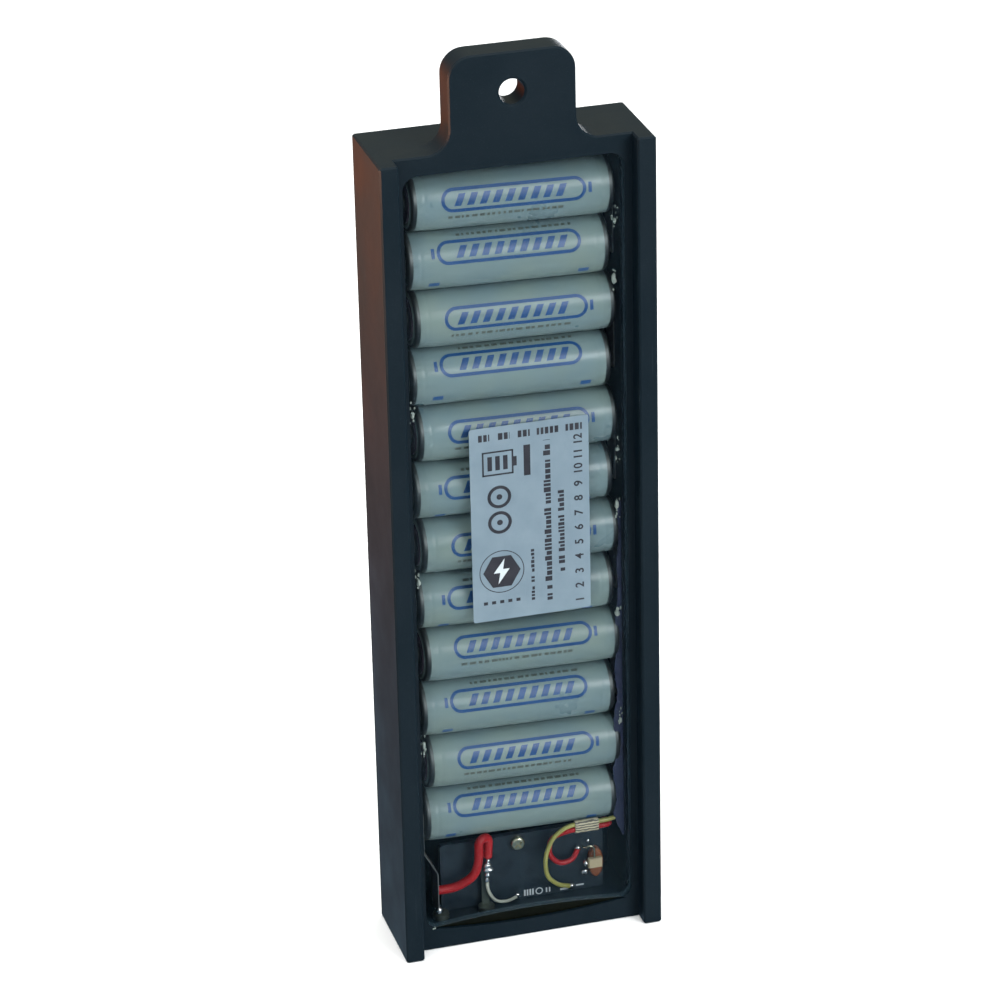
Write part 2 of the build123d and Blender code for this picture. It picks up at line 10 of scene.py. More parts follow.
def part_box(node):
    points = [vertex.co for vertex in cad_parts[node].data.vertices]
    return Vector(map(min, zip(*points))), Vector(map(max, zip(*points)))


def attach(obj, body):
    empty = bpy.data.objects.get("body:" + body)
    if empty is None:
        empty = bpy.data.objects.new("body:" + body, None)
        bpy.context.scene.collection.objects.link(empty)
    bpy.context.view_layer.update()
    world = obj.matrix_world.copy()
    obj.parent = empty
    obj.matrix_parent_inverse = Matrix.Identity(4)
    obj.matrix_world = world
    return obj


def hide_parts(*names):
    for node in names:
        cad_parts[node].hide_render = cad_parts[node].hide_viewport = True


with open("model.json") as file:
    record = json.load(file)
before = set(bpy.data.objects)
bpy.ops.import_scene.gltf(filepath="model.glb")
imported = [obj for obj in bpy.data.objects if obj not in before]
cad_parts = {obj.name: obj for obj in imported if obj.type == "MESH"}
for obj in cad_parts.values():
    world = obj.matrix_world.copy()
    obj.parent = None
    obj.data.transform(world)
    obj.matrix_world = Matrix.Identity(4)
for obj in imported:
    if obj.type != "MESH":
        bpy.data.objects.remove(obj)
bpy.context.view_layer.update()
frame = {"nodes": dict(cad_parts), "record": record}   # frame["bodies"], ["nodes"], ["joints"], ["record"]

# Sealed pack of twelve AA cells behind a clear window. Metres, +Z up, the window faces -Y.

NODES = frame["nodes"]
MM = 0.001
SLEEVE_LENGTH = 48.6 * MM
RANDOM = random.Random(12)

# ---------------------------------------------------------------- camera, floor and light

CAMERA_PLACE = Vector((-0.2477, -0.8829, 0.5378))
CAMERA_AIM = Vector((-0.0009, 0.0033, 0.1112))
CAMERA_ROLL = math.radians(-1.33)
CAMERA_LENS = 153.9
CAMERA_SHIFT = (-0.0045, 0.0057)
FLOOR_HALF = 5.0


def make_camera():
    data = bpy.data.cameras.new("camera")
    data.lens = CAMERA_LENS
    data.sensor_width = 36.0
    data.shift_x, data.shift_y = CAMERA_SHIFT
    data.clip_start = 0.05
    camera = bpy.data.objects.new("camera", data)
    bpy.context.scene.collection.objects.link(camera)
    aim = (CAMERA_AIM - CAMERA_PLACE).to_track_quat("-Z", "Y")
    roll = Quaternion((0, 0, 1), CAMERA_ROLL)
    camera.rotation_mode = "QUATERNION"
    camera.rotation_quaternion = aim @ roll
    camera.location = CAMERA_PLACE
    bpy.context.scene.camera = camera


def area_light(name, place, aim, size, watts, colour, only=None):
    """Rectangular light at a place, aimed at another; only lists the things that it falls on alone."""
    data = bpy.data.lights.new(name, "AREA")
    data.shape = "RECTANGLE"
    data.size, data.size_y = size
    data.energy = watts
    data.color = colour
    light = bpy.data.objects.new(name, data)
    bpy.context.scene.collection.objects.link(light)
    light.location = place
    light.rotation_mode = "QUATERNION"
    light.rotation_quaternion = (Vector(aim) - Vector(place)).to_track_quat("-Z", "Y")
    if only is not None:
        lit = bpy.data.collections.new(f"lit_by_{name}")
        for thing in only:
            lit.objects.link(thing)
        light.light_linking.receiver_collection = lit


def make_stage():
    """Plain pale floor under the pack."""
    bm = bmesh.new()
    outline = box_outline(-FLOOR_HALF, -FLOOR_HALF, FLOOR_HALF, FLOOR_HALF)
    bm.faces.new([bm.verts.new((x, y, 0)) for x, y in outline])
    mesh = mesh_from("floor", bm)
    pale = grained("pale_floor", (0.86, 0.86, 0.86), (0.90, 0.90, 0.90), 0.6, 3 * MM, 0.02 * MM)
    mesh.materials.append(pale)
    floor = bpy.data.objects.new("floor", mesh)
    floor.visible_glossy = False
    bpy.context.scene.collection.objects.link(floor)
    return floor


def make_lights(floor, sleeves):
    """Soft studio light; the floor, the housing and the cells each have some light of their own."""
    middle = (0, 0, 0.11)
    housing = NODES["housing"]
    area_light("front_light", (0.75, -1.35, 0.80), middle, (0.7, 0.5), 19, (0.93, 0.98, 1.0))
    area_light("top_light", (0.0, 0.1, 1.6), middle, (1.8, 1.4), 13, (1.0, 0.98, 0.93))
    # The floor is lit apart, so that it stays white while the pack stays as dark as it is
    area_light("floor_light", (0.0, -0.3, 1.8), middle, (2.4, 2.0), 52, (1.0, 0.98, 0.96), [floor])
    # Warm light close to the top of the left side, level with it, so that no other side is warmed
    warm_place, warm_aim = (-0.13, 0.0, 0.195), (0, 0, 0.195)
    area_light("warm_light", warm_place, warm_aim, (0.02, 0.05), 0.47, (1.0, 0.41, 0.20), [housing])
    # Low light behind, which shows the shape of the back and does not reach the top
    area_light("back_light", (0.7, 1.3, 0.10), middle, (1.2, 0.16), 6.5, (0.95, 0.98, 1.0), [housing])
    # The cells get more light from above, and from a near strip that fades towards their right ends
    area_light("upper_light", (-0.45, -0.75, 1.1), middle, (0.5, 0.4), 9, (0.96, 1.0, 0.99), sleeves)
    strip_place = (-0.10, -0.115, 0.12)
    area_light("strip_light", strip_place, middle, (0.03, 0.30), 0.08, (0.96, 1.0, 1.0), sleeves)


def make_world():
    """Dim cool room; the gloss of the pack's left side shows a warm glow with a cool one below it."""
    world = bpy.data.worlds.new("studio")
    bpy.context.scene.world = world
    world.use_nodes = True
    tree = world.node_tree
    direction = tree.nodes.new("ShaderNodeTexCoord").outputs["Generated"]

    def glow(towards, start, full):
        """0 away from a direction, 1 close to it."""
        node = tree.nodes.new("ShaderNodeVectorMath")
        node.operation = "DOT_PRODUCT"
        node.inputs[1].default_value = Vector(towards).normalized()
        tree.links.new(direction, node.inputs[0])
        return spread(tree, node.outputs["Value"], start, full)

    colour = mixed(tree, glow((0, 0, 1), -0.2, 0.8), (0.16, 0.22, 0.28), (0.62, 0.68, 0.70))
    glows = (
        # dim room behind the pack
        ((0, 1, -0.4), 0.5, 0.9, (0.04, 0.04, 0.05)),
        # pale glow that the top face mirrors
        ((0.24, 0.88, 0.42), 0.92, 0.99, (0.45, 0.44, 0.32)),
        # cool glow low on the left side, and a warm one above it
        ((-0.20, 0.80, -0.60), 0.965, 0.993, (0.34, 0.56, 0.74)),
        ((-0.22, 0.93, -0.20), 0.968, 0.988, (1.15, 0.27, 0.06)),
    )
    for towards, start, full, tint in glows:
        colour = mixed(tree, glow(towards, start, full), colour, tint)
    seen = tree.nodes.new("ShaderNodeLightPath").outputs["Is Camera Ray"]
    colour = mixed(tree, seen, colour, (0.93, 0.94, 0.95))
    tree.links.new(colour, tree.nodes["Background"].inputs["Color"])
    bpy.context.scene.view_settings.view_transform = "Standard"


# ---------------------------------------------------------------- material helpers


def new_material(name, colour, roughness, metallic=0.0, ior=1.5):
    """A principled material with its constants set, ready for texture nodes."""
    material = bpy.data.materials.new(name)
    material.use_nodes = True
    shader = material.node_tree.nodes["Principled BSDF"]
    shader.inputs["Base Color"].default_value = (*colour, 1.0)
    shader.inputs["Roughness"].default_value = roughness
    shader.inputs["Metallic"].default_value = metallic
    shader.inputs["IOR"].default_value = ior
    return material, material.node_tree, shader


def stretched_place(tree, stretch=(1, 1, 1), turn=(0, 0, 0)):
    """Position on the object in metres, stretched along its axes and turned."""
    place = tree.nodes.new("ShaderNodeTexCoord")
    mapping = tree.nodes.new("ShaderNodeMapping")
    mapping.inputs["Scale"].default_value = stretch
    mapping.inputs["Rotation"].default_value = turn
    tree.links.new(place.outputs["Object"], mapping.inputs["Vector"])
    return mapping.outputs["Vector"]


def noise(tree, grain, detail=3.0, stretch=(1, 1, 1), turn=(0, 0, 0)):
    """Noise whose lumps are about as large as grain, in metres."""
    texture = tree.nodes.new("ShaderNodeTexNoise")
    texture.inputs["Scale"].default_value = 1.0 / grain
    texture.inputs["Detail"].default_value = detail
    tree.links.new(stretched_place(tree, stretch, turn), texture.inputs["Vector"])
    return texture.outputs["Fac"]


def spread(tree, value, low, high, out_low=0.0, out_high=1.0):
    """Maps a value from low..high to out_low..out_high, clamped."""
    node = tree.nodes.new("ShaderNodeMapRange")
    node.inputs["From Min"].default_value = low
    node.inputs["From Max"].default_value = high
    node.inputs["To Min"].default_value = out_low
    node.inputs["To Max"].default_value = out_high
    tree.links.new(value, node.inputs["Value"])
    return node.outputs["Result"]


def mixed(tree, factor, first, second):
    """Colour between first and second; each is a colour or an output of another node."""
    node = tree.nodes.new("ShaderNodeMix")
    node.data_type = "RGBA"
    tree.links.new(factor, node.inputs["Factor"])
    for socket, colour in (("A", first), ("B", second)):
        target = [s for s in node.inputs if s.name == socket and s.type == "RGBA"][0]
        if isinstance(colour, tuple):
            target.default_value = (*colour, 1.0)
        else:
            tree.links.new(colour, target)
    return [s for s in node.outputs if s.type == "RGBA"][0]


def bump(tree, shader, layers):
    """Chains bumps; each layer is a height output, its strength and its height in metres."""
    last = None
    for height, strength, distance in layers:
        node = tree.nodes.new("ShaderNodeBump")
        node.inputs["Strength"].default_value = strength
        node.inputs["Distance"].default_value = distance
        tree.links.new(height, node.inputs["Height"])
        if last is not None:
            tree.links.new(last, node.inputs["Normal"])
        last = node.outputs["Normal"]
    tree.links.new(last, shader.inputs["Normal"])


def grained(name, dark, light, roughness, grain, bump_height, metallic=0.0, shine=0.5):
    """A material with fine colour variation, uneven gloss and a grain in relief."""
    material, tree, shader = new_material(name, light, roughness, metallic)
    shader.inputs["Specular IOR Level"].default_value = shine
    patches = noise(tree, grain * 12, 4.0)
    fine = noise(tree, grain, 3.0)
    tree.links.new(mixed(tree, patches, dark, light), shader.inputs["Base Color"])
    gloss = spread(tree, patches, 0.3, 0.7, roughness - 0.06, roughness + 0.06)
    tree.links.new(gloss, shader.inputs["Roughness"])
    bump(tree, shader, [(fine, 0.6, bump_height)])
    return material


# ---------------------------------------------------------------- materials


def housing_material():
    """Milled black plastic: fine speckle, faint cutter marks and a few pale scratches."""
    material, tree, shader = new_material("milled_black_plastic", (0.010, 0.014, 0.019), 0.42)
    shader.inputs["Specular IOR Level"].default_value = 0.16
    patches = noise(tree, 18 * MM, 5.0)
    speckle = noise(tree, 0.35 * MM, 2.0)
    cutter_marks = noise(tree, 0.5 * MM, 2.0, (0.02, 1, 1))
    scratch_field = noise(tree, 1.2 * MM, 1.0, (1, 1, 0.03), (0.0, 0.35, 0.0))
    scratches = spread(tree, scratch_field, 0.76, 0.88)
    body = mixed(tree, patches, (0.003, 0.009, 0.014), (0.006, 0.014, 0.021))
    dusty = mixed(tree, spread(tree, speckle, 0.60, 0.85, 0.0, 0.5), body, (0.018, 0.030, 0.040))
    scratched = mixed(tree, scratches, dusty, (0.024, 0.034, 0.043))
    tree.links.new(scratched, shader.inputs["Base Color"])
    tree.links.new(spread(tree, patches, 0.3, 0.7, 0.36, 0.50), shader.inputs["Roughness"])
    bump(tree, shader, [(cutter_marks, 0.25, 0.03 * MM), (speckle, 0.35, 0.04 * MM)])
    return material


def sleeve_material():
    """Pearl white shrink film: faint ripples, yellowed patches, and painted shade that darkens its ends and
    dulls their gloss.
    """
    material, tree, shader = new_material("pearl_shrink_film", (0.25, 0.31, 0.28), 0.30)
    patches = noise(tree, 14 * MM, 4.0)
    ripples = noise(tree, 3.0 * MM, 2.0, (1.0, 0.25, 0.25))
    creases = noise(tree, 0.5 * MM, 2.0, (1.0, 0.03, 0.03))
    specks = noise(tree, 0.5 * MM, 2.0)
    film = mixed(tree, spread(tree, patches, 0.35, 0.7), (0.098, 0.148, 0.163), (0.118, 0.163, 0.152))
    dusty = mixed(tree, spread(tree, specks, 0.68, 0.80, 0.0, 0.5), film, (0.07, 0.095, 0.085))
    across = tree.nodes.new("ShaderNodeSeparateXYZ")
    tree.links.new(stretched_place(tree), across.inputs["Vector"])
    from_middle = tree.nodes.new("ShaderNodeMath")
    from_middle.operation = "ABSOLUTE"
    tree.links.new(across.outputs["X"], from_middle.inputs[0])
    # Painted shade: the film turns dark towards both ends, where the rims fall into shade, and its gloss is
    # lowered there too.
    half = SLEEVE_LENGTH / 2
    ends = spread(tree, from_middle.outputs["Value"], half - 0.6 * MM, half + 0.2 * MM)
    tree.links.new(mixed(tree, ends, dusty, (0.04, 0.05, 0.052)), shader.inputs["Base Color"])
    tree.links.new(spread(tree, ends, 0.0, 1.0, 0.33, 0.05), shader.inputs["Specular IOR Level"])
    tree.links.new(spread(tree, patches, 0.3, 0.7, 0.26, 0.38), shader.inputs["Roughness"])
    bump(tree, shader, [(ripples, 0.35, 0.12 * MM), (creases, 0.25, 0.03 * MM)])
    return material


def window_material():
    """Clear sheet: mostly see-through, with a faint haze, smears and hairline scratches."""
    material, tree, shader = new_material("clear_window", (0.10, 0.17, 0.22), 0.06)
    smears = noise(tree, 22 * MM, 5.0, (1.0, 1.0, 0.6))
    hairlines = spread(tree, noise(tree, 0.9 * MM, 1.0, (1, 1, 0.025), (0.0, 0.5, 0.0)), 0.76, 0.80)
    haze = spread(tree, smears, 0.35, 0.75, 0.0, 0.03)
    edge_on = tree.nodes.new("ShaderNodeFresnel")
    edge_on.inputs["IOR"].default_value = 1.3
    cover = haze
    for layer, weight in ((hairlines, 0.06), (edge_on.outputs["Fac"], 0.3)):
        sum_node = tree.nodes.new("ShaderNodeMath")
        sum_node.operation = "MULTIPLY_ADD"
        sum_node.inputs[1].default_value = weight
        tree.links.new(layer, sum_node.inputs[0])
        tree.links.new(cover, sum_node.inputs[2])
        cover = sum_node.outputs["Value"]
    tree.links.new(cover, shader.inputs["Alpha"])
    tree.links.new(spread(tree, smears, 0.3, 0.7, 0.04, 0.14), shader.inputs["Roughness"])
    return material


def label_material():
    """Milky film that the cells behind it just show through."""
    material, tree, shader = new_material("label_film", (0.20, 0.27, 0.32), 0.42)
    patches = noise(tree, 7 * MM, 4.0)
    film = mixed(tree, patches, (0.165, 0.235, 0.290), (0.205, 0.275, 0.325))
    tree.links.new(film, shader.inputs["Base Color"])
    tree.links.new(spread(tree, patches, 0.3, 0.7, 0.82, 0.88), shader.inputs["Alpha"])
    tree.links.new(spread(tree, patches, 0.3, 0.7, 0.36, 0.48), shader.inputs["Roughness"])
    bump(tree, shader, [(noise(tree, 0.5 * MM), 0.6, 0.01 * MM)])
    return material


def ink_material(name, dark, light):
    """Printing ink with uneven cover."""
    return grained(name, dark, light, 0.40, 0.25 * MM, 0.004 * MM)


def banded_material():
    """Cream shrink sleeving with darker bands across it."""
    material, tree, shader = new_material("banded_sleeving", (0.55, 0.52, 0.40), 0.5)
    wave = tree.nodes.new("ShaderNodeTexWave")
    wave.bands_direction = "Z"
    wave.inputs["Scale"].default_value = 0.50 / MM
    wave.inputs["Distortion"].default_value = 5.0
    tree.links.new(stretched_place(tree), wave.inputs["Vector"])
    bands = spread(tree, wave.outputs["Fac"], 0.35, 0.65)
    tree.links.new(mixed(tree, bands, (0.06, 0.06, 0.05), (0.38, 0.35, 0.24)), shader.inputs["Base Color"])
    bump(tree, shader, [(wave.outputs["Fac"], 0.5, 0.05 * MM)])
    return material


def board_material():
    """Dark solder mask with faint copper tracks under it."""
    material, tree, shader = new_material("solder_mask", (0.012, 0.022, 0.035), 0.3)
    cells = tree.nodes.new("ShaderNodeTexVoronoi")
    cells.distance = "MANHATTAN"
    cells.inputs["Scale"].default_value = 0.30 / MM
    tree.links.new(stretched_place(tree), cells.inputs["Vector"])
    tracks = spread(tree, cells.outputs["Distance"], 0.42, 0.50)
    patches = noise(tree, 5 * MM, 4.0)
    mask = mixed(tree, patches, (0.003, 0.008, 0.013), (0.006, 0.013, 0.020))
    tree.links.new(mixed(tree, tracks, mask, (0.008, 0.016, 0.024)), shader.inputs["Base Color"])
    bump(tree, shader, [(tracks, 0.5, 0.03 * MM), (noise(tree, 0.4 * MM), 0.3, 0.02 * MM)])
    return material


MATERIALS = {
    "housing_plastic": housing_material(),
    "window_plastic": window_material(),
    "sealant": grained(
        "olive_sealant", (0.001, 0.002, 0.002), (0.006, 0.007, 0.003), 0.35, 0.7 * MM, 0.12 * MM, shine=0.1
    ),
    "label_film": label_material(),
    # Painted shade: the cell cans' steel is much darker than bright steel, standing for the shade in the gaps
    # at the cells' ends.
    "nickel_steel": grained(
        "nickel_steel", (0.07, 0.08, 0.08), (0.12, 0.13, 0.13), 0.50, 0.4 * MM, 0.01 * MM, 1.0
    ),
    "cell_sleeve_film": sleeve_material(),
    "insulator_card": grained(
        "insulator_card", (0.035, 0.028, 0.05), (0.075, 0.062, 0.09), 0.7, 0.3 * MM, 0.03 * MM
    ),
    "nickel_strip": grained(
        "nickel_strip", (0.30, 0.29, 0.27), (0.50, 0.48, 0.44), 0.40, 0.4 * MM, 0.01 * MM, 1.0
    ),
    "red_insulation": grained(
        "red_insulation", (0.14, 0.003, 0.006), (0.34, 0.009, 0.012), 0.38, 0.5 * MM, 0.02 * MM, shine=0.25
    ),
    "yellow_insulation": grained(
        "yellow_insulation", (0.13, 0.13, 0.03), (0.30, 0.30, 0.08), 0.4, 0.5 * MM, 0.02 * MM
    ),
    "pale_insulation": grained(
        "pale_insulation", (0.18, 0.20, 0.17), (0.34, 0.36, 0.31), 0.4, 0.5 * MM, 0.02 * MM
    ),
    "cream_sleeving": banded_material(),
    "board_laminate": board_material(),
    "bright_steel": grained(
        "bright_steel", (0.50, 0.48, 0.34), (0.78, 0.75, 0.56), 0.22, 0.3 * MM, 0.01 * MM, 1.0
    ),
    "fuse_coating": grained(
        "fuse_coating", (0.07, 0.022, 0.010), (0.24, 0.075, 0.022), 0.28, 0.8 * MM, 0.05 * MM
    ),
    "cream_ceramic": grained(
        "cream_ceramic", (0.22, 0.18, 0.10), (0.36, 0.31, 0.20), 0.55, 0.3 * MM, 0.03 * MM
    ),
    "contact_brass": grained(
        "contact_brass", (0.09, 0.11, 0.10), (0.17, 0.19, 0.16), 0.5, 0.3 * MM, 0.01 * MM, 1.0
    ),
    "solder": grained("tin_solder", (0.55, 0.56, 0.56), (0.88, 0.89, 0.90), 0.2, 0.9 * MM, 0.08 * MM, 1.0),
    "hot_glue": grained("milky_glue", (0.14, 0.18, 0.16), (0.42, 0.48, 0.44), 0.25, 0.5 * MM, 0.08 * MM),
}
BLUE_INK = ink_material("blue_ink", (0.001, 0.038, 0.140), (0.002, 0.054, 0.190))
GREY_INK = ink_material("grey_ink", (0.045, 0.060, 0.055), (0.065, 0.085, 0.075))
BLACK_INK = ink_material("black_ink", (0.016, 0.016, 0.022), (0.035, 0.034, 0.045))
# Painted light: the bluish colour of the sheet on the pocket's right wall stands for light falling there.
PAINTED_WALL_LIGHT = grained("painted_wall_light", (0.008, 0.013, 0.034), (0.026, 0.036, 0.088), 0.35, 0.7 * MM, 0.10 * MM)
WHITE_INK = ink_material("white_ink", (0.42, 0.47, 0.50), (0.62, 0.68, 0.70))


def dress_cad_nodes():
    """Gives every CAD node the material of its slot."""
    for part in frame["record"]["subparts"]:
        mesh = NODES[part["node"]].data
        mesh.materials.clear()
        mesh.materials.append(MATERIALS[part["material_slot"]])


# ---------------------------------------------------------------- piece helpers


def add_piece(name, mesh, material):
    """Puts a mesh in the scene as a piece that rides on the pack."""
    mesh.materials.append(material)
    piece = bpy.data.objects.new(name, mesh)
    bpy.context.scene.collection.objects.link(piece)
    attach(piece, "root")
    return piece


def mesh_from(name, bm, smooth=False):
    bmesh.ops.recalc_face_normals(bm, faces=bm.faces)
    mesh = bpy.data.meshes.new(name)
    bm.to_mesh(mesh)
    bm.free()
    if smooth:
        mesh.shade_smooth()
    return mesh


def add_slab(bm, outline, low, high, place):
    """Closed slab from a flat outline, between two heights; place(u, v, height) gives the point."""
    bottom = [bm.verts.new(place(u, v, low)) for u, v in outline]
    top = [bm.verts.new(place(u, v, high)) for u, v in outline]
    bm.faces.new(top)
    bm.faces.new(bottom[::-1])
    for index in range(len(outline)):
        after = (index + 1) % len(outline)
        bm.faces.new((bottom[index], bottom[after], top[after], top[index]))


def add_band(bm, inner, outer, low, high, place, closed=True):
    """Closed strip between two outlines with the same number of points."""
    count = len(inner)
    rows = [
        [bm.verts.new(place(u, v, height)) for u, v in outline]
        for outline, height in ((inner, low), (outer, low), (outer, high), (inner, high))
    ]
    for index in range(count if closed else count - 1):
        after = (index + 1) % count
        for row, next_row in zip(rows, rows[1:] + rows[:1]):
            bm.faces.new((row[index], row[after], next_row[after], next_row[index]))
    if not closed:
        bm.faces.new([row[0] for row in rows])
        bm.faces.new([row[-1] for row in rows][::-1])


def bridge(bm, rings):
    """Joins each closed ring of points to the next one."""
    for ring, next_ring in zip(rings, rings[1:]):
        for index in range(len(ring)):
            after = (index + 1) % len(ring)
            bm.faces.new((ring[index], ring[after], next_ring[after], next_ring[index]))


def circle_points(centre, radius, count, start=0.0, turn=2 * math.pi):
    """Points round a circle, or along an arc of it."""
    steps = count if abs(turn - 2 * math.pi) < 1e-6 else count - 1
    angles = [start + turn * index / steps for index in range(count)]
    return [(centre[0] + radius * math.cos(a), centre[1] + radius * math.sin(a)) for a in angles]


def box_outline(left, bottom, right, top):
    return [(left, bottom), (right, bottom), (right, top), (left, top)]


# ---------------------------------------------------------------- cells

CELL_COUNT = 12
CELL_TILT = math.radians(1.4)
SLEEVE_RADIUS = 7.15 * MM
SLEEVE_SEGMENTS = 96
SHOULDER = 1.3 * MM
TAPER_LENGTH = 5.0 * MM
TAPER = 0.16 * MM
FILM = 0.12 * MM
PRINT_LIFT = 0.01 * MM
PRINT_TOP = 0.035 * MM
# How far round each cell its printed side is turned up from level, in degrees
PRINT_TURNS = (14, 28, 12, 35, 15, 17, 12, 18, 27, 28, 19, 30)


def cell_matrix(number):
    """Places a cell's own frame: X along the cell with the print upright, Y to the back, Z up."""
    low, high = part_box(f"cell_sleeve_{number:02d}")
    middle = (low + high) / 2
    place = Matrix.Translation(middle) @ Matrix.Rotation(CELL_TILT, 4, "Y")
    if number % 2 == 0:
        place = place @ Matrix.Rotation(math.pi, 4, "Y")
    return place


def sleeve_profile():
    """Half outline of the film: lip, rounded shoulder, slow taper with a faint groove, then straight."""
    half = SLEEVE_LENGTH / 2
    groove_place, groove_depth, groove_half = half - 3.4 * MM, 0.06 * MM, 0.5 * MM
    points = [(half - 0.02 * MM, 5.2 * MM), (half, 5.6 * MM)]
    for step in range(7):
        angle = math.radians(90 * step / 6)
        along = half - SHOULDER + SHOULDER * math.cos(angle)
        out = SLEEVE_RADIUS - TAPER - SHOULDER + SHOULDER * math.sin(angle)
        points.append((along, out))
    for step in range(1, 17):
        fade = step / 16
        along = half - SHOULDER - TAPER_LENGTH * fade
        groove = groove_depth * max(1 - abs(along - groove_place) / groove_half, 0)
        out = SLEEVE_RADIUS - TAPER * (1 - math.sin(fade * math.pi / 2)) - groove
        points.append((along, out))
    return points


def make_sleeve(number):
    """Shrink sleeve with softly tapered ends, in place of the plain CAD sleeve."""
    half_profile = sleeve_profile()
    outer = half_profile + [(-along, out) for along, out in half_profile[::-1]]
    inner = [(along * (1 - FILM / SLEEVE_LENGTH * 2), out - FILM) for along, out in outer[1:-1]]
    loop = outer + inner[::-1]
    place = cell_matrix(number)
    bm = bmesh.new()
    rings = []
    for step in range(SLEEVE_SEGMENTS):
        angle = 2 * math.pi * step / SLEEVE_SEGMENTS
        spots = [Vector((along, out * math.cos(angle), out * math.sin(angle))) for along, out in loop]
        rings.append([bm.verts.new(place @ spot) for spot in spots])
    bridge(bm, rings + rings[:1])
    name = f"shrink_sleeve_{number:02d}"
    piece = add_piece(name, mesh_from(name, bm, True), MATERIALS["cell_sleeve_film"])
    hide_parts(f"cell_sleeve_{number:02d}")
    return piece


def cell_wrap(number):
    """Maps a place on a cell's print, and a height over the film, to a point round the cell."""
    place = cell_matrix(number)
    side = -1 if number % 2 == 0 else 1
    turn = math.radians(side * PRINT_TURNS[number - 1])

    def wrap(u, v, height):
        radius = SLEEVE_RADIUS + height
        angle = turn + v / SLEEVE_RADIUS
        return place @ Vector((u, -radius * math.cos(angle), radius * math.sin(angle)))

    return wrap


def wrapped_box(bm, wrap, left, bottom, right, top, slant=0.0):
    """Box in short steps round the sleeve, so that it follows the curve."""
    rows = 6
    levels = [bottom + (top - bottom) * row / rows for row in range(rows + 1)]
    left_side = [(left + slant * (v - bottom), v) for v in levels]
    right_side = [(right + slant * (v - bottom), v) for v in levels]
    add_band(bm, left_side, right_side, PRINT_LIFT, PRINT_TOP, wrap, closed=False)


def make_gauge_print(number, wrap):
    """Blue outline with slanted bars in it, a stub beside it and, on even cells, two low marks."""
    half_length, half_height, stroke = 17.2 * MM, 2.9 * MM, 0.8 * MM
    bar_count, bar_pitch, bar_width, bar_half, bar_slant = 9, 3.0 * MM, 1.6 * MM, 1.4 * MM, 0.45
    first_bar = -14.2 * MM
    stub_left, stub_right, stub_half = half_length + 0.5 * MM, half_length + 1.3 * MM, 1.2 * MM
    mark_width, mark_low, mark_high = 2.5 * MM, 7.6 * MM, 9.0 * MM
    bm = bmesh.new()
    outlines = []
    for inset in (stroke, 0.0):
        radius = half_height - inset
        right_end = circle_points((half_length - half_height, 0), radius, 17, -math.pi / 2, math.pi)
        left_end = circle_points((half_height - half_length, 0), radius, 17, math.pi / 2, math.pi)
        outlines.append(right_end + left_end)
    add_band(bm, outlines[0], outlines[1], PRINT_LIFT, PRINT_TOP, wrap)
    for bar in range(bar_count):
        left = first_bar + bar * bar_pitch
        wrapped_box(bm, wrap, left, -bar_half, left + bar_width, bar_half, bar_slant)
    wrapped_box(bm, wrap, stub_left, -stub_half, stub_right, stub_half)
    if number % 2 == 0:
        for left in (-19.3 * MM, 16.4 * MM):
            wrapped_box(bm, wrap, left, mark_low, left + mark_width, mark_high)
    name = f"blue_gauge_print_{number:02d}"
    add_piece(name, mesh_from(name, bm), BLUE_INK)


def make_fine_print(number, wrap):
    """Row of fine grey dashes beside the gauge, like a line of text too small to read."""
    cursor, row_end = -15.5 * MM, 12.0 * MM
    row_low, row_high = -4.6 * MM, -3.9 * MM
    bm = bmesh.new()
    while cursor < row_end:
        width = RANDOM.uniform(0.5, 1.6) * MM
        wrapped_box(bm, wrap, cursor, row_low, cursor + width, row_high)
        cursor += width + RANDOM.uniform(0.25, 0.8) * MM
    name = f"fine_print_{number:02d}"
    add_piece(name, mesh_from(name, bm), GREY_INK)


def make_cells():
    """Sleeve and print of each cell; returns the sleeves."""
    sleeves = []
    for number in range(1, CELL_COUNT + 1):
        sleeves.append(make_sleeve(number))
        wrap = cell_wrap(number)
        make_gauge_print(number, wrap)
        make_fine_print(number, wrap)
    return sleeves


# ---------------------------------------------------------------- rating label


LABEL_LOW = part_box("rating_label")[0]
LABEL_INK = 0.02 * MM
BADGE = (7.2, 12.6)
NUMBER_SIZE = 2.9 * MM
NUMBER_WEIGHT = 0.055 * MM
NUMBER_PITCH = 3.79


def on_label(u, v, height):
    """Point on the label's face, from its lower left corner."""
    return Vector((LABEL_LOW.x + u, LABEL_LOW.y - height, LABEL_LOW.z + v))


def label_bar(bm, left, bottom, right, top):
    """Printed bar on the label, in millimetres."""
    outline = box_outline(left * MM, bottom * MM, right * MM, top * MM)
    add_slab(bm, outline, 0.0, LABEL_INK, on_label)


def label_ring(bm, x, z, outer, inner):
    """Printed ring on the label, in millimetres."""
    circles = [circle_points((x * MM, z * MM), radius * MM, 48) for radius in (inner, outer)]
    add_band(bm, circles[0], circles[1], 0.0, LABEL_INK, on_label)


def blocks_up(bm, x, width, start, end, longest):
    """Row of blocks that runs up the label, like a line of text too small to read."""
    z = start
    while z < end:
        length = RANDOM.uniform(0.5, longest)
        side = RANDOM.choice((0.0, 0.25)) * width
        label_bar(bm, x - width / 2 + side, z, x + width / 2, min(z + length, end))
        z += length + RANDOM.choice((0.3, 0.3, 0.3, 1.2))


def blocks_across(bm, z, height, start, end):
    """Row of blocks that runs across the label."""
    x = start
    while x < end:
        length = RANDOM.uniform(0.6, 1.1)
        label_bar(bm, x, z - height / 2, min(x + length, end), z + height / 2)
        x += length + 0.35


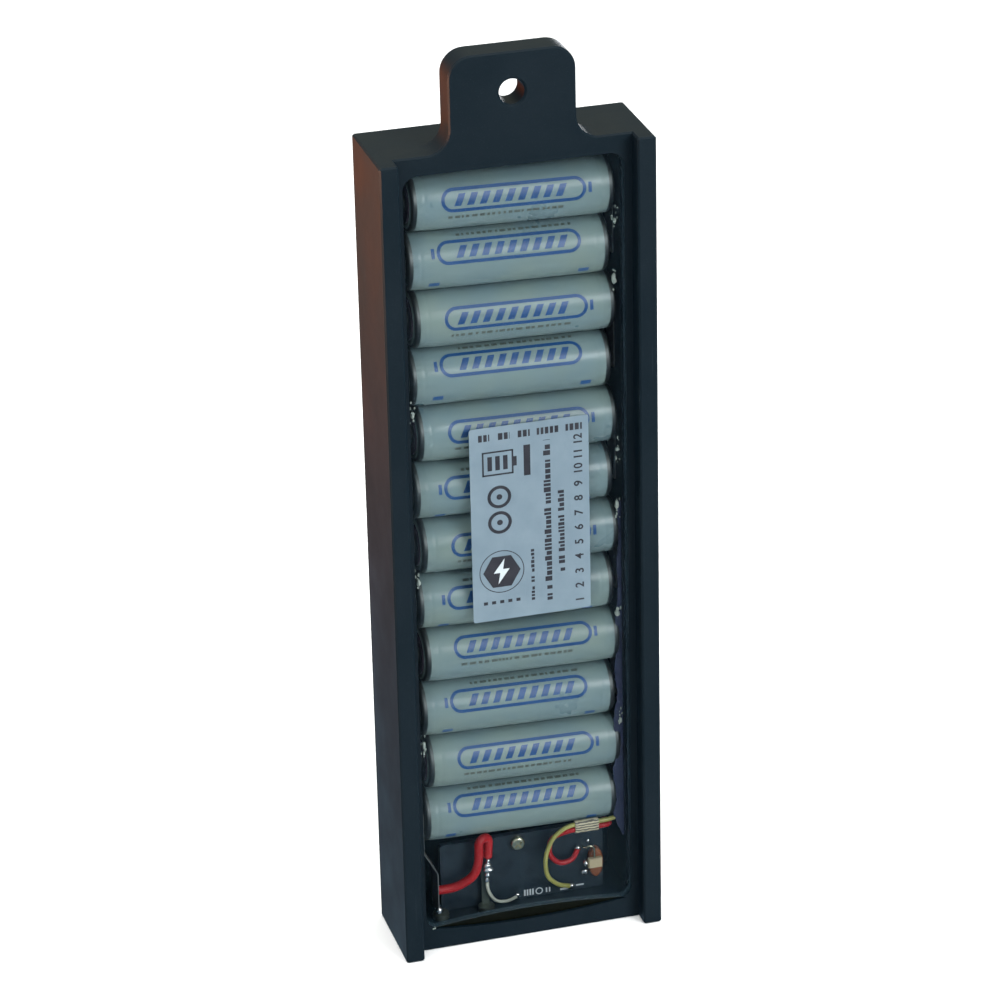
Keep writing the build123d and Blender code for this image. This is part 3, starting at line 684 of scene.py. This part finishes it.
def draw_battery(bm):
    """Battery outline with three charge bars, and the solid bar beside it."""
    left, bottom, right, top, line = 3.0, 37.6, 10.6, 43.8, 0.4
    label_bar(bm, left, bottom, right, bottom + line)
    label_bar(bm, left, top - line, right, top)
    label_bar(bm, left, bottom, left + line, top)
    label_bar(bm, right - line, bottom, right, top)
    label_bar(bm, right, 39.5, right + 0.8, 41.9)
    for bar_left in (4.3, 6.2, 8.1):
        label_bar(bm, bar_left, 38.9, bar_left + 1.1, 42.5)
    label_bar(bm, 13.1, 36.6, 14.7, 44.4)


def draw_rings(bm):
    """Two broad rings, each with a dot."""
    for z in (32.0, 25.4):
        label_ring(bm, 7.0, z, 2.9, 2.1)
        label_ring(bm, 7.0, z, 0.7, 0.05)


def draw_badge(bm):
    """Dark hexagon inside a thin ring, with a row of squares under it."""
    x, z = BADGE
    hexagon = circle_points((x * MM, z * MM), 4.6 * MM, 6)
    add_slab(bm, hexagon, 0.0, LABEL_INK, on_label)
    label_ring(bm, x, z, 5.5, 5.3)
    for column in range(5):
        left = 2.6 + column * 2.0
        label_bar(bm, left, 4.3, left + 1.0, 5.1)


def draw_text_rows(bm):
    """Rows of blocks where the label has its text."""
    blocks_up(bm, 14.8, 0.8, 4.0, 18.0, 0.9)
    blocks_up(bm, 18.7, 1.7, 3.4, 45.0, 1.3)
    blocks_up(bm, 22.0, 1.5, 10.5, 32.0, 1.0)
    for start, end in ((2.2, 4.9), (7.0, 9.8), (11.8, 14.7), (16.4, 21.8), (23.4, 27.4)):
        blocks_across(bm, 47.4, 1.7, start, end)


def make_label_number(number):
    """One of the plain numbers, reading up the label."""
    curve = bpy.data.curves.new(f"number_{number}", "FONT")
    curve.body = str(number)
    curve.size = NUMBER_SIZE
    curve.align_x = "CENTER"
    curve.extrude = LABEL_INK / 2
    curve.offset = NUMBER_WEIGHT
    text = bpy.data.objects.new(f"number_{number}", curve)
    bpy.context.scene.collection.objects.link(text)
    face_front = Matrix.Rotation(math.pi / 2, 4, "X") @ Matrix.Rotation(math.pi / 2, 4, "Z")
    spot = on_label(27.3 * MM, (2.4 + NUMBER_PITCH * (number - 1)) * MM, LABEL_INK / 2)
    text.matrix_world = Matrix.Translation(spot) @ face_front
    bpy.context.view_layer.update()
    mesh = bpy.data.meshes.new_from_object(text.evaluated_get(bpy.context.evaluated_depsgraph_get()))
    mesh.transform(text.matrix_world)
    bpy.data.objects.remove(text)
    mesh.materials.clear()
    add_piece(f"label_number_{number:02d}", mesh, BLACK_INK)


def make_label_print():
    """Generic marks on the label: icons, rows of blocks, a pale bolt and the numbers 1 to 12."""
    bm = bmesh.new()
    draw_battery(bm)
    draw_rings(bm)
    draw_badge(bm)
    draw_text_rows(bm)
    add_piece("label_marks", mesh_from("label_marks", bm), BLACK_INK)

    bm = bmesh.new()
    bolt = [(7.9, 15.9), (5.2, 12.3), (6.8, 12.3), (6.3, 9.4), (9.1, 13.2), (7.5, 13.2)]
    add_slab(bm, [(x * MM, z * MM) for x, z in bolt], LABEL_INK, 2 * LABEL_INK, on_label)
    add_piece("label_bolt", mesh_from("label_bolt", bm), WHITE_INK)

    for number in range(1, 13):
        make_label_number(number)


# ---------------------------------------------------------------- seal bead, glue and solder


def make_seal_bead():
    """Domed strand of sealant in the lens-shaped slot under the window."""
    low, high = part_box("window_seal_bead")
    middle_z = (low.z + high.z) / 2
    half_length = (high.x - low.x) / 2 - 0.1 * MM
    half_rise = (high.z - low.z) / 2 - 0.08 * MM
    depth = high.y - low.y
    edge_share = 0.86
    stations, around = 140, 20
    bm = bmesh.new()
    rings = []
    for station in range(stations + 1):
        share = 2 * station / stations - 1
        x = share * half_length
        rise = half_rise * max(1 - share * share, 0.02)
        wobble = 1 + 0.05 * math.sin(station * 1.7) + RANDOM.uniform(-0.04, 0.04)
        ring = []
        for step in range(around + 1):
            angle = math.pi * step / around
            dome = min(edge_share + (1 - edge_share) * math.sin(angle) * wobble, 1.0)
            ring.append(bm.verts.new((x, high.y - depth * dome, middle_z - rise * math.cos(angle))))
        ring.append(bm.verts.new((x, high.y, middle_z + rise)))
        ring.append(bm.verts.new((x, high.y, middle_z - rise)))
        rings.append(ring)
    bridge(bm, rings)
    bm.faces.new(rings[0])
    bm.faces.new(rings[-1][::-1])
    piece = add_piece("seal_strand", mesh_from("seal_strand", bm, True), MATERIALS["sealant"])
    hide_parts("window_seal_bead")


def add_lump(bm, centre, half_sizes, unevenness):
    """Irregular closed lump."""
    made = bmesh.ops.create_icosphere(bm, subdivisions=3, radius=1.0)
    phases = [RANDOM.uniform(0, 6.28) for _ in range(3)]
    for vert in made["verts"]:
        x, y, z = vert.co
        ripple = math.sin(3.1 * x + phases[0]) + math.sin(3.7 * y + phases[1]) + math.sin(4.3 * z + phases[2])
        vert.co = vert.co * (1 + unevenness * ripple / 3 - unevenness)
        vert.co = Vector((c * s for c, s in zip(vert.co, half_sizes))) + centre


def solids_of(node):
    """Lowest and highest corner of each separate solid of a CAD node, in the order of its mesh."""
    bm = bmesh.new()
    bm.from_mesh(NODES[node].data)
    bmesh.ops.remove_doubles(bm, verts=bm.verts, dist=0.001 * MM)
    bm.verts.ensure_lookup_table()
    reached = [False] * len(bm.verts)
    boxes = []
    for first in bm.verts:
        if reached[first.index]:
            continue
        reached[first.index] = True
        found = [first]
        for vert in found:
            for edge in vert.link_edges:
                other = edge.other_vert(vert)
                if not reached[other.index]:
                    reached[other.index] = True
                    found.append(other)
        low = Vector([min(vert.co[axis] for vert in found) for axis in range(3)])
        high = Vector([max(vert.co[axis] for vert in found) for axis in range(3)])
        boxes.append((low, high))
    bm.free()
    return boxes


def make_glue():
    """Dried glue along the pocket walls, in dabs with small specks, and a drop at the bead's left end."""
    low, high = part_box("glue_blobs")
    specks_per_dab, unevenness = 7, 0.22
    bm = bmesh.new()
    for dab_low, dab_high in solids_of("glue_blobs"):
        middle = (dab_low + dab_high) / 2
        radius = (dab_high.x - dab_low.x) / 2
        on_right = middle.x > 0
        add_lump(bm, middle, (radius * 0.6, radius * 0.8, radius * RANDOM.uniform(0.7, 1.3)), unevenness)
        for _ in range(specks_per_dab):
            speck = radius * RANDOM.uniform(0.14, 0.34)
            side = RANDOM.uniform(0.0, 1.1) * MM + speck
            spot = Vector((high.x - side if on_right else low.x + side, middle.y, middle.z))
            spot += Vector((0, RANDOM.uniform(-0.2, 0.8) * MM, RANDOM.uniform(-3.6, 3.6) * MM))
            add_lump(bm, spot, (speck, speck, speck * RANDOM.uniform(1.0, 2.6)), unevenness)
    bead_low, bead_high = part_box("window_seal_bead")
    bead_end = Vector((bead_low.x + 0.8 * MM, bead_low.y - 0.4 * MM, (bead_low.z + bead_high.z) / 2))
    add_lump(bm, bead_end, (0.7 * MM, 0.4 * MM, 0.5 * MM), 0.2)
    piece = add_piece("glue_dabs", mesh_from("glue_dabs", bm, True), MATERIALS["hot_glue"])
    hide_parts("glue_blobs")


def make_wall_adhesive():
    """Thin bluish sheet on the lower half of the pocket's right wall, narrower upwards: painted light that
    stands for bluish light falling on that wall.
    """
    pane_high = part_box("window_pane")[1]
    wall, back, film = pane_high.x - 0.5 * MM, pane_high.y + 1.5 * MM, 0.25 * MM
    bottom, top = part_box("circuit_board")[1].z - 3 * MM, 112 * MM
    low_width, high_width = 2.6 * MM, 0.6 * MM
    steps = 90
    bm = bmesh.new()
    edge = []
    for step in range(steps + 1):
        share = step / steps
        waves = 1 + 0.2 * math.sin(step * 0.45) + RANDOM.uniform(-0.1, 0.1)
        foot = min(1.0, 0.15 + 12 * share)
        width = (low_width + (high_width - low_width) * share) * waves * foot
        edge.append((wall - width, bottom + (top - bottom) * share))
    side = [(wall, z) for _, z in edge]
    add_band(bm, edge, side, back, back + film, lambda x, z, y: Vector((x, y, z)), closed=False)
    add_piece("painted_wall_light_sheet", mesh_from("painted_wall_light_sheet", bm), PAINTED_WALL_LIGHT)


def make_solder():
    """Solder: an uneven lump at each joint, and on the tall tab a run of lumps that narrows upwards."""
    tall_half, unevenness = 2 * MM, 0.16
    # Heights and widths of the tall joint's lumps, as shares of its half sizes
    tall_run = ((-0.75, 0.8), (-0.35, 1.0), (0.1, 1.5), (0.45, 1.3), (0.78, 0.6))
    bm = bmesh.new()
    for low, high in solids_of("solder_joints"):
        middle = (low + high) / 2
        half = (high - low) / 2
        if half.z < tall_half:
            add_lump(bm, middle, half * 1.3, unevenness)
            continue
        for height, width in tall_run:
            spot = middle + Vector((RANDOM.uniform(-0.2, 0.3) * MM, 0, height * half.z))
            add_lump(bm, spot, (half.x * width, half.y * width, half.z * 0.34), unevenness)
    piece = add_piece("solder_lumps", mesh_from("solder_lumps", bm, True), MATERIALS["solder"])
    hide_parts("solder_joints")


# ---------------------------------------------------------------- board printing


def make_board_print():
    """White marks along the lower edge of the board."""
    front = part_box("circuit_board")[0].y
    ink = 0.03 * MM
    bm = bmesh.new()

    def on_board(u, v, height):
        return Vector((u, front - height, v))

    def bar(left, bottom, right, top):
        add_slab(bm, box_outline(left * MM, bottom * MM, right * MM, top * MM), 0.0, ink, on_board)

    # Four strokes, a ring, two strokes and two dashes, from left to right
    for left in (0.6, 1.3, 2.0, 2.7):
        bar(left, 6.7, left + 0.4, 8.4)
    inner, outer = [circle_points((4.5 * MM, 7.5 * MM), radius * MM, 24) for radius in (0.70, 0.95)]
    add_band(bm, inner, outer, 0.0, ink, on_board)
    for left in (6.2, 7.0):
        bar(left, 6.8, left + 0.35, 8.1)
    bar(9.9, 6.7, 12.0, 7.2)
    bar(14.0, 7.2, 16.0, 7.6)
    add_piece("board_marks", mesh_from("board_marks", bm), WHITE_INK)


# ---------------------------------------------------------------- the scene

make_camera()
make_world()
dress_cad_nodes()
cell_sleeves = make_cells()
make_lights(make_stage(), cell_sleeves)
make_label_print()
make_seal_bead()
make_glue()
# Painted light on the pocket's right wall
make_wall_adhesive()
make_solder()
make_board_print()
